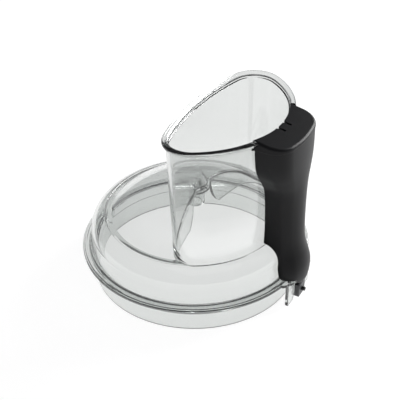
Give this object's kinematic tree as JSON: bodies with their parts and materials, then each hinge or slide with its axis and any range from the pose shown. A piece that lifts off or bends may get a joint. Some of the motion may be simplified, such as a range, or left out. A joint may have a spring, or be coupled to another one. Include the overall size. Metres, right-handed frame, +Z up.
{
  "type": "food processor work bowl cover",
  "caption": "Clear domed work bowl cover with a half-moon feed tube and a black side housing that holds a sprung interlock rod.",
  "frame": {"origin": "on the cover's axis, in the plane of the skirt's lower edge, where the cover rests on a table", "axes": "+Z up along the cover's axis, +X from the axis towards the handle housing, +Y to its left seen from the axis"},
  "size_m": [0.2182, 0.21, 0.1725],
  "materials": {
    "clear_plastic": "clear moulded polycarbonate, polished",
    "black_housing": "fine satin black ABS",
    "dark_grey_rod": "dark grey acetal, moulded",
    "black_peg": "black nylon",
    "spring_steel": "drawn stainless spring wire and turned washers",
    "white_guide": "natural acetal"
  },
  "bodies": {
    "cover": {"bowl_cover": "clear_plastic", "feed_tube": "clear_plastic", "housing_shell": "black_housing", "housing_back": "black_housing", "housing_cap": "black_housing", "rod_guide": "white_guide", "spring_lower_seat": "spring_steel", "return_spring": "spring_steel"},
    "interlock_rod": {"push_rod": "dark_grey_rod", "stop_pin": "spring_steel", "rod_crosshead": "dark_grey_rod", "rod_foot": "dark_grey_rod", "foot_peg": "black_peg", "spring_upper_seat": "spring_steel"}
  },
  "joints": [
    {"name": "rod_press", "type": "slide", "parent": "cover", "child": "interlock_rod", "axis": [0, 0, -1], "range_m": [0, 0.004], "stiffness_N_per_m": 900, "springref_m": -0.003, "deforming": ["return_spring"]}
  ]
}
